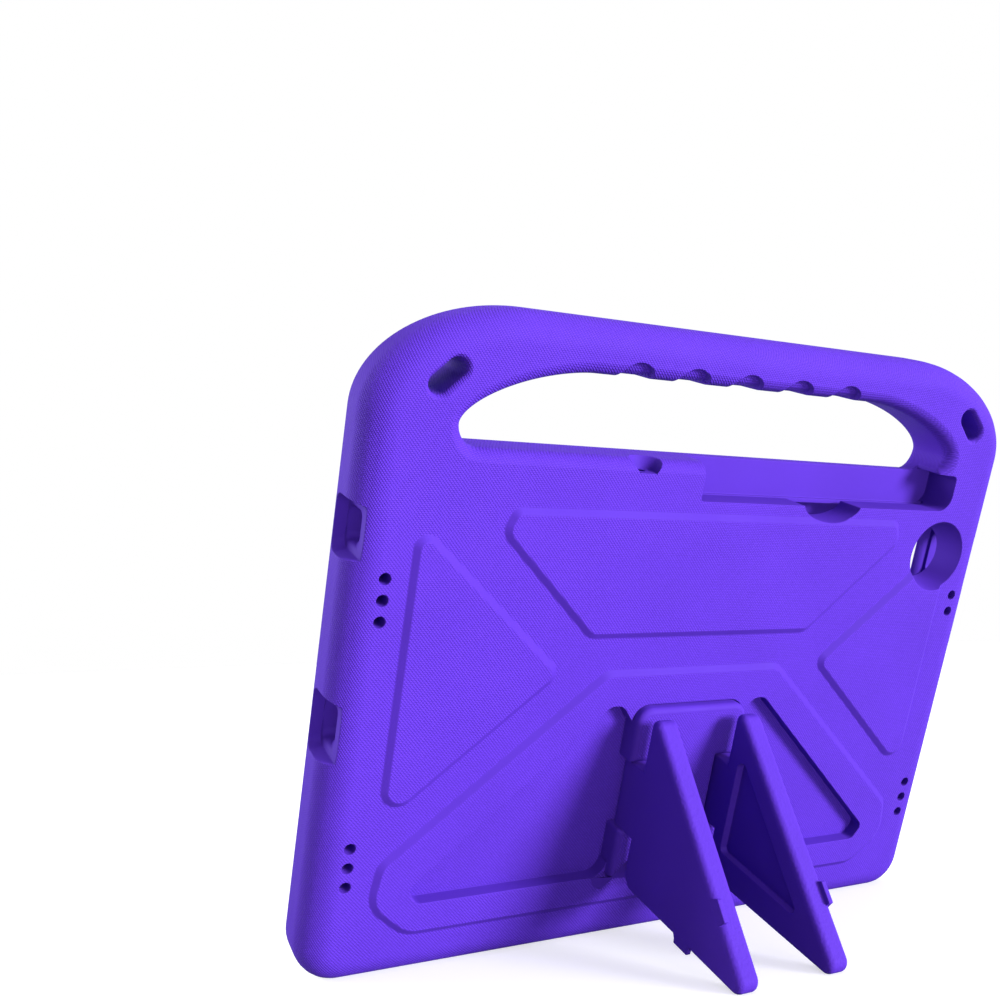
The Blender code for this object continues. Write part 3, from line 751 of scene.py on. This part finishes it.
def buildCase():
    edges = easedLevels(0, case["depth"], case["frontEdge"], case["rearEdge"])
    body = newPiece("caseBody", ringMesh("caseBody", [plate(caseOutline(), edges)]))
    depth, slope = case["depth"], case["panelSlope"]
    panelLevels = [(depth - 0.002, 0), (depth, 0), (panelLevel, -slope)]
    panels = ringMesh("panels", [plate(outline, panelLevels) for outline in panelOutlines()], wall=smooth)
    shape(body, "raisedPanels", panels, "UNION")

    half = tablet["width"] / 2
    space = boxOutline(-half, half, case["footWall"], tabletTop, tablet["corner"])
    spaceMesh = ringMesh("space", [plate(space, [(tablet["lip"], 0), (tabletBack, 0)])], smooth, smooth)
    shape(body, "tabletSpace", spaceMesh)

    screenHalf = half - window["sideLip"]
    windowLow, windowHigh = case["footWall"] + window["footLip"], tabletTop - window["topLip"]
    notch = rounded(mirrored([
        (screenHalf, windowLow, window["corner"]),
        (screenHalf, windowHigh, window["corner"]),
        (window["notchHalf"], windowHigh, 0),
        (window["notchTopHalf"], windowHigh + window["notchRise"], 0.001),
    ]))
    slopeEnd = tablet["lip"] - window["edge"]
    windowLevels = [
        (-0.0006, window["slope"] * (1 + 0.0006 / slopeEnd)),
        (slopeEnd, 0),
        (tablet["lip"] + 0.001, 0),
    ]
    shape(body, "screenWindow", ringMesh("window", [plate(notch, windowLevels)], smooth, smooth))

    hole = plate(gripOutline(), flaredLevels(0, case["depth"], grip["edge"]))
    shape(body, "gripHole", ringMesh("gripHole", [hole]))

    fingerLow = gripHigh + scoop["overHole"] - scoop["radius"]
    through = [(-0.001, 0), (case["depth"] + 0.001, 0)]
    finger = plate(roundPoints(0, fingerLow, scoop["radius"], 64), through)
    firstFinger = -scoop["pitch"] * (scoop["count"] - 1) / 2
    fingers = repeatedTool(
        "fingerScoops", (firstFinger, 0, 0), (scoop["pitch"], 0, 0), scoop["count"],
        ringMesh("finger", [finger]),
    )
    scoops = newPiece("scoops", fingers)
    core = boxOutline(
        scoop["deep"], case["depth"] - scoop["deep"],
        gripHigh + scoop["rise"], caseHeight - scoop["deep"], grip["edge"],
    )
    reach = scoop["pitch"] * scoop["count"] / 2
    shape(scoops, "gripCore", ringMesh("core", [plate(core, [(-reach, 0), (reach, 0)], alongX)]))
    applied(scoops)
    fingerMesh = scoops.data
    bpy.data.objects.remove(scoops)
    shape(body, "fingerCuts", fingerMesh)

    slots = []
    for side in (-1, 1):
        turn = Matrix.Rotation(-side * math.pi / 4, 2)
        middle = Vector((side * (caseHalf - strap["toSide"]), caseHeight - strap["toTop"]))
        halfLong, halfWide = strap["long"] / 2, strap["wide"] / 2
        outline = boxOutline(-halfLong, halfLong, -halfWide, halfWide, halfWide - 0.0001)
        outline = [tuple(turn @ Vector(point) + middle) for point in outline]
        slots.append(plate(outline, flaredLevels(0, case["depth"], strap["edge"], 6)))
    shape(body, "strapSlots", ringMesh("strapSlots", slots))

    behind = panelLevel + 0.001
    low, foot = openings["slotToSide"] - caseHalf, tabletTop + openings["slotLip"]
    high = low + openings["slotLong"]
    holeEnd, inHole = grip["toSide"] + 0.002 - caseHalf, gripLow + grip["endRadius"] / 2
    ceiling = gripLow + openings["slotCeiling"]
    slotOutline = rounded([
        (low, foot, 0.006), (high, foot, 0.001), (high, inHole, 0),
        (holeEnd, inHole, 0), (holeEnd, ceiling, 0), (low, ceiling, 0.002),
    ])
    front = openings["slotFront"]
    slot = plate(slotOutline, [(front, 0), (behind, 0)])
    shape(body, "buttonSlot", ringMesh("slot", [slot], smooth, smooth))
    sillLow = tabletTop - openings["slotUnderTop"]
    sill = boxOutline(low + 0.001, high - 0.0005, sillLow, foot + 0.001, 0.0008)
    sillRings = plate(sill, [(front + 0.0002, 0), (tabletBack + 0.0004, 0)])
    shape(body, "slotSill", ringMesh("sill", [sillRings], smooth, smooth))
    thumb = [
        (
            openings["thumbX"] + openings["thumbHalf"] * math.cos(a),
            foot + 0.001 + (openings["thumbDrop"] + 0.001) * math.sin(a),
        )
        for a in (2 * math.pi * step / 64 for step in range(64))
    ]
    thumbMesh = ringMesh("thumb", [plate(thumb, [(front + 0.0005, 0), (behind, 0)])], smooth, smooth)
    shape(body, "thumbRecess", thumbMesh)

    soundFloor = gripLow - openings["soundFloor"]
    for name, levels in (
        ("soundScoop", ((0.0193, soundFloor, 0.0045), (0.0212, gripLow + 0.0035, 0.0078))),
        ("soundBore", ((0.0080, tabletTop - 0.001, 0.0016), (0.0180, soundFloor + 0.001, 0.0016))),
    ):
        rings = [
            [(u, v, z) for u, v in roundPoints(openings["soundX"], y, radius)]
            for y, z, radius in levels
        ]
        shape(body, name, ringMesh(name, [rings], smooth, smooth))
    lensX, lensZ = openings["lensToSide"] - caseHalf, tabletTop - openings["lensUnderTop"]
    lensRings = [
        [(u, y, v) for u, v in roundPoints(lensX + shift, lensZ + drop, radius, 80)]
        for y, shift, drop, radius in (
            (tabletBack - 0.001, -0.002, -0.0015, openings["lensFloor"]),
            (behind, 0, 0, openings["lensMouth"] + 0.0004),
        )
    ]
    shape(body, "lensOpening", ringMesh("lens", [lensRings], smooth, smooth))

    radius, pitch = openings["speakerRadius"], openings["speakerPitch"]
    holes = []
    for side in (-1, 1):
        for middle in (openings["speakerLow"], tabletTop - openings["speakerUnderTop"]):
            count = 2 if side < 0 and middle > openings["speakerLow"] else 3
            hole = plate(roundPoints(0, 0, radius, 32), [(tabletBack - 0.001, 0), (behind, 0)])
            holes.append(repeatedTool(
                "speakerHoles",
                (side * (caseHalf - openings["speakerToSide"]), 0, middle - pitch),
                (0, 0, pitch),
                count,
                ringMesh("hole", [hole], smooth, smooth),
            ))
    for mesh in holes:
        for face in mesh.polygons:
            face.material_index = smooth
    shape(body, "speakerHoles", joined("speakerHoles", holes))
    shape(body, "sidePorts", ringMesh("ports", [portRings(*port) for port in ports], smooth, smooth))
    well = plate(wellOutline(), [(wellFloor, 0), (behind, 0)])
    shape(body, "legWell", ringMesh("well", [well], smooth, woven))
    applied(body)
    return body


body = buildCase()
print("stage case shaped:", len(body.data.polygons), "faces")


def finished(piece, body, node):
    # Leant, worn flat where it stands on the floor, then with soft edges
    piece.data.transform(placeUpright)
    floorCut = ringMesh("floor", [[
        [(u, v, z) for u, v in ((-0.2, -0.1), (0.2, -0.1), (0.2, 0.2), (-0.2, 0.2))] for z in (-0.02, 0)
    ]], smooth, smooth)
    shape(piece, "floorWear", floorCut)
    softened(applied(piece), case["softEdge"])
    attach(piece, body)
    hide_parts(node)
    print("stage", piece.name, "finished:", len(piece.data.polygons), "faces")


finished(body, "case", "case_body")


# The stand

def buildBracket():
    gap = stand["gap"]
    middle = stand["hingeX"] - leg["thick"] / 2 - gap
    half = stand["bracketHalf"]
    right = [
        (half, wellLow + gap, 0.0012),
        (half, knuckle[0] - gap, 0),
        (middle, knuckle[0] - gap, 0),
        (middle, knuckle[1] + gap, 0),
        (half, knuckle[1] + gap, 0),
        (half, wellHigh - gap, stand["bracketCorner"]),
    ]
    top = hingeY + leg["thick"] / 2 - stand["belowLeg"]
    levels = easedLevels(wellFloor + gap, top, 0, stand["bracketEdge"])
    levels = [(wellFloor + gap, 0)] + levels[edgeSteps + 1:]
    block = ringMesh("standBracket", [plate(rounded(mirrored(right)), levels)], smooth)
    piece = newPiece("standBracket", block)
    return applied(piece)


def legCorners():
    tip = caseHalf - stand["tipHighToSide"] - stand["hingeX"] - leg["tipBack"]
    low, high = wellLow + leg["overFoot"], wellHigh - leg["underTop"]
    heel, cut = leg["heel"], leg["heelCut"]
    return [
        (heel, low + cut),
        (heel + cut, low),
        (tip, wellLow + leg["tipRise"]),
        (leg["shoulder"], high),
        (heel, high),
    ]


def buildLeg(side):
    corners = legCorners()
    half = leg["thick"] / 2

    def place(u, v, w):
        return (side * (stand["hingeX"] + w), hingeY + u, v)

    outline = rounded([(u, v, radius) for (u, v), radius in zip(corners, leg["corners"])])
    levels = easedLevels(-half, half, leg["edge"], leg["edge"])
    name = "legLeft" if side > 0 else "legRight"
    piece = newPiece(name, ringMesh(name, [plate(outline, levels, place)], stippled, smooth))

    turns = [math.pi * (1 + step / 24) for step in range(25)]
    tongue = [(half * math.cos(a), half * math.sin(a)) for a in turns]
    tongue += [(half, leg["heel"] + 0.003), (-half, leg["heel"] + 0.003)]
    knuckleLevels = easedLevels(knuckle[0], knuckle[1], 0.0006, 0.0006, 4)
    tongueRings = plate(tongue, knuckleLevels, lambda u, v, w: place(v, w, u))
    shape(piece, name + "Knuckle", ringMesh("tongue", [tongueRings], smooth, smooth), "UNION")

    foot, tip, shoulder = (Vector(corner) for corner in corners[1:4])
    tabs = []
    for start, end, reach in ((tip, shoulder, leg["tabSlopeReach"]), (foot, tip, leg["tabFootReach"])):
        run = (end - start).normalized()
        away = Vector((run.y, -run.x))
        middle = start + run * ((reach - start.x) / run.x)
        halfLong, high = leg["tabLong"] / 2, leg["tabHigh"]
        ends = [
            middle - run * halfLong - away * 0.003, middle - run * (halfLong - 0.0006) + away * high,
            middle + run * (halfLong - 0.0006) + away * high, middle + run * halfLong - away * 0.003,
        ]
        tab = [tuple(point) for point in ends]
        tabs.append(plate(tab, [(half - leg["tabThick"], 0), (half - 0.0001, 0)], place))
    shape(piece, name + "Tabs", ringMesh("tabs", tabs, stippled, smooth), "UNION")

    along = (shoulder - tip).normalized()
    edge = tip + Vector((-along.y, along.x)) * leg["dishMargin"]
    low, heel = tip.y + leg["dishFootMargin"], leg["dishHeel"]
    lowEnd = edge + along * ((low - edge.y) / along.y)
    highEnd = edge + along * ((heel - edge.x) / along.x)
    dishPoints = ((heel, low), (lowEnd.x, low), (heel, highEnd.y))
    dish = rounded([(u, v, radius) for (u, v), radius in zip(dishPoints, leg["dishCorners"])])
    dishRings = plate(dish, [(-half - 0.001, 0), (leg["dishDeep"] - half, 0)], place)
    shape(piece, name + "Dish", ringMesh("dish", [dishRings], smooth, smooth))
    return applied(piece)


finished(buildBracket(), "case", "stand_bracket")
finished(buildLeg(1), "leg_left", "stand_leg_left")
finished(buildLeg(-1), "leg_right", "stand_leg_right")
print("stage stand: bracket and legs")

steel = buildPinSteel()
for nodeName, node in frame["nodes"].items():
    if nodeName.startswith("hinge_pin"):
        node.data.materials.clear()
        node.data.materials.append(steel)


# Camera, light and floor

# Measured on the upright case, in metres and degrees
view = {"place": (0.23926, 0.30620, 0.23862), "turn": (77.507, -8.450, 153.901), "lens": 38.4}
camera = bpy.data.objects.new("camera", bpy.data.cameras.new("camera"))
camera.data.lens = view["lens"]
camera.data.sensor_width = 36
camera.data.clip_start = 0.01
turn = Euler([math.radians(a) for a in view["turn"]]).to_matrix().to_4x4()
camera.matrix_world = placeUpright @ Matrix.Translation(view["place"]) @ turn
bpy.context.scene.collection.objects.link(camera)
bpy.context.scene.camera = camera


def addLight(name, kind, towards, power, **values):
    light = bpy.data.lights.new(name, kind)
    light.energy = power
    for label, value in values.items():
        setattr(light, label, value)
    lamp = bpy.data.objects.new(name, light)
    direction = Vector(towards).normalized()
    lamp.location = Vector((0, 0.05, 0.10)) + direction * 1.4
    lamp.rotation_euler = direction.to_track_quat("Z", "Y").to_euler()
    bpy.context.scene.collection.objects.link(lamp)


# A broad key from the rear right, with part of it reaching behind the legs
keySide = (-0.49, 0.88, 0.11)
addLight("key", "SUN", keySide, 9.6, angle=math.radians(22))
addLight("keyFill", "SUN", keySide, 1.6, use_shadow=False)
addLight("topSoftbox", "AREA", (0.05, 0.25, 0.95), 2, size=1.0)
addLight("screenSideSoftbox", "AREA", (0.75, -0.6, 0.35), 26, size=1.0)

world = bpy.data.worlds.new("studio")
bpy.context.scene.world = world
world.use_nodes = True
sky = world.node_tree
back = sky.nodes["Background"]
back.inputs["Color"].default_value = (1, 1, 1, 1)
path = addNode(sky, "ShaderNodeLightPath", (-600, 0))
strength = addNode(sky, "ShaderNodeMapRange", (-300, 0))
strength.inputs["To Min"].default_value = 0.78
strength.inputs["To Max"].default_value = 1.0
sky.links.new(path.outputs["Is Camera Ray"], strength.inputs["Value"])
sky.links.new(strength.outputs["Result"], back.inputs["Strength"])

floorMesh = bpy.data.meshes.new("floor")
floorMesh.from_pydata([(-6, -6, 0), (6, -6, 0), (6, 6, 0), (-6, 6, 0)], [], [(0, 1, 2, 3)])
floor = newPiece("floor", floorMesh)
paper = bpy.data.materials.new("paleFloor")
paper.use_nodes = True
tree = paper.node_tree
shader = tree.nodes["Principled BSDF"]
shader.inputs["Base Color"].default_value = (0.5, 0.5, 0.505, 1)
shader.inputs["Roughness"].default_value = 0.9
shader.inputs["Specular IOR Level"].default_value = 0.1
shader.inputs["Emission Color"].default_value = (1, 1, 1, 1)
path = addNode(tree, "ShaderNodeLightPath", (-600, 0))
glow = mathNode(tree, (-300, 0), "MULTIPLY", path.outputs["Is Camera Ray"], 0.60)
tree.links.new(glow, shader.inputs["Emission Strength"])
floorMesh.materials.append(paper)

bpy.context.scene.view_settings.view_transform = "Standard"
print("stage scene: ready")
